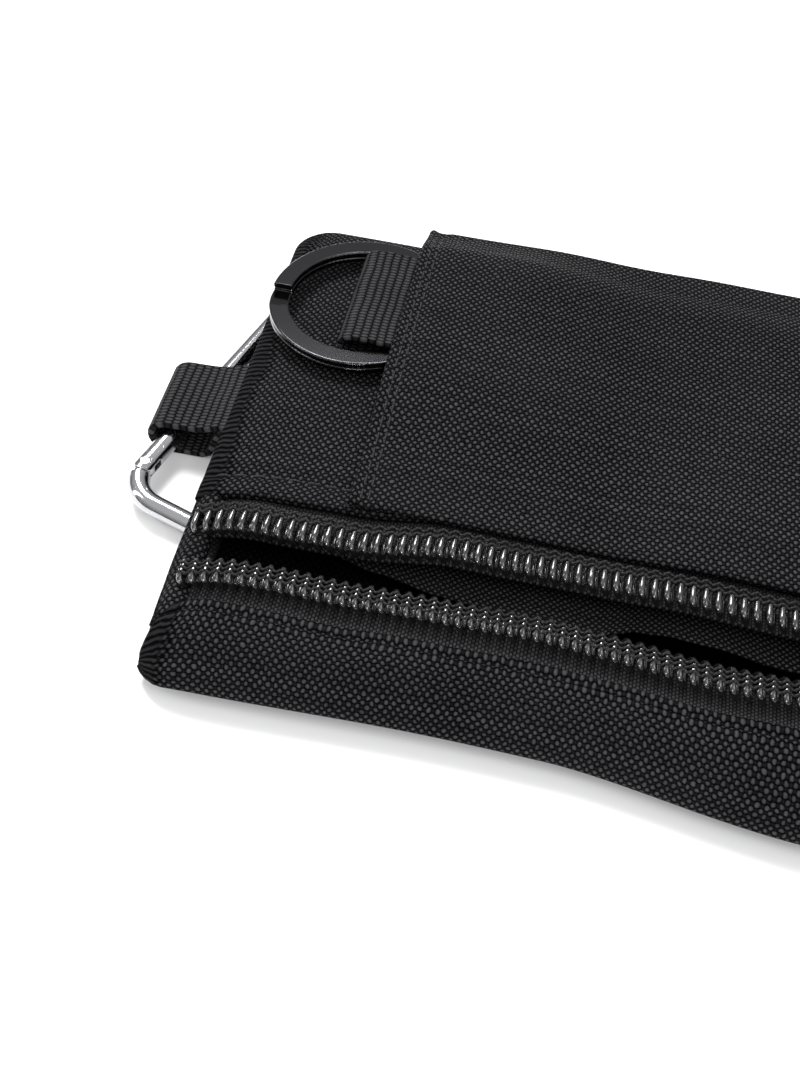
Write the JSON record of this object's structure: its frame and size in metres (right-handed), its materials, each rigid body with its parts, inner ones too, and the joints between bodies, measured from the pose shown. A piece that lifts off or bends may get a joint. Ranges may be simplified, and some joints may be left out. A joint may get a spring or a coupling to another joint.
{
  "type": "zippered pouch",
  "caption": "Small flat zippered pouch of woven fabric with a slip pocket, a key ring in a webbing loop and a snap hook on a side loop.",
  "frame": {"origin": "middle of the flat face the pouch rests on when it lies on its back, on the table plane", "axes": "+X along the zip, with the key ring and snap hook at the -X end; +Y from the zip toward the closed top edge; +Z out of the front"},
  "size_m": [0.1411, 0.0849, 0.0157],
  "materials": {
    "shell_fabric": "heavy plain weave",
    "lining_fabric": "fine weave",
    "binding": "ribbed tape",
    "zip_tape": "finely ribbed tape",
    "zip_coil": "shiny monofilament",
    "thread": "twisted polyester",
    "webbing": "ribbed webbing",
    "ring_metal": "dark plated, satin with bright edges",
    "polished_steel": "polished",
    "slider_metal": "satin black"
  },
  "bodies": {
    "pouch": {"back_panel": "shell_fabric", "upper_front_panel": "shell_fabric", "lower_front_panel": "shell_fabric", "pocket_panel": "shell_fabric", "divider_panel": "lining_fabric", "end_tab_left": "shell_fabric", "end_tab_right": "shell_fabric", "seam_binding_left": "binding", "seam_binding_right": "binding", "zipper_tape_upper": "zip_tape", "zipper_tape_lower": "zip_tape", "zipper_coil_upper": "zip_coil", "zipper_coil_lower": "zip_coil", "coil_thread_upper": "thread", "coil_thread_lower": "thread", "upper_hem_stitch": "thread", "pocket_hem_stitch": "thread", "webbing_tack": "thread", "ring_webbing": "webbing", "side_webbing": "webbing"},
    "key_ring": {"split_ring": "ring_metal"},
    "hook_gate": {"carabiner_gate": "polished_steel", "gate_pin": "polished_steel", "gate_spring": "polished_steel"},
    "hook_body": {"carabiner_body": "polished_steel"},
    "zip_slider": {"slider_body": "slider_metal", "slider_bail": "slider_metal"},
    "zip_pull": {"pull_tab": "slider_metal"}
  },
  "joints": [
    {"name": "slider_slide", "type": "slide", "parent": "pouch", "child": "zip_slider", "axis": [-1, 0, 0], "range_m": [0, 0.097]},
    {"name": "pull_hinge", "type": "hinge", "parent": "zip_slider", "child": "zip_pull", "pos_m": [0.0455, -0.0255, 0.014], "axis": [0, 1, 0], "range_deg": [0, 180]},
    {"name": "ring_slide", "type": "slide", "parent": "pouch", "child": "key_ring", "axis": [-1, 0, 0], "range_m": [0, 0.0042]},
    {"name": "hook_swing", "type": "hinge", "parent": "pouch", "child": "hook_gate", "pos_m": [-0.0744, -0.0092, 0.00285], "axis": [0.2756, 0.9613, 0], "range_deg": [0, 180]},
    {"name": "gate_open", "type": "hinge", "parent": "hook_gate", "child": "hook_body", "pos_m": [-0.0744, -0.0092, 0.00285], "axis": [0.0735, -0.0211, 0.9971], "range_deg": [0, 22], "stiffness_Nm_per_rad": 0.02, "springref_deg": -5.73}
  ]
}
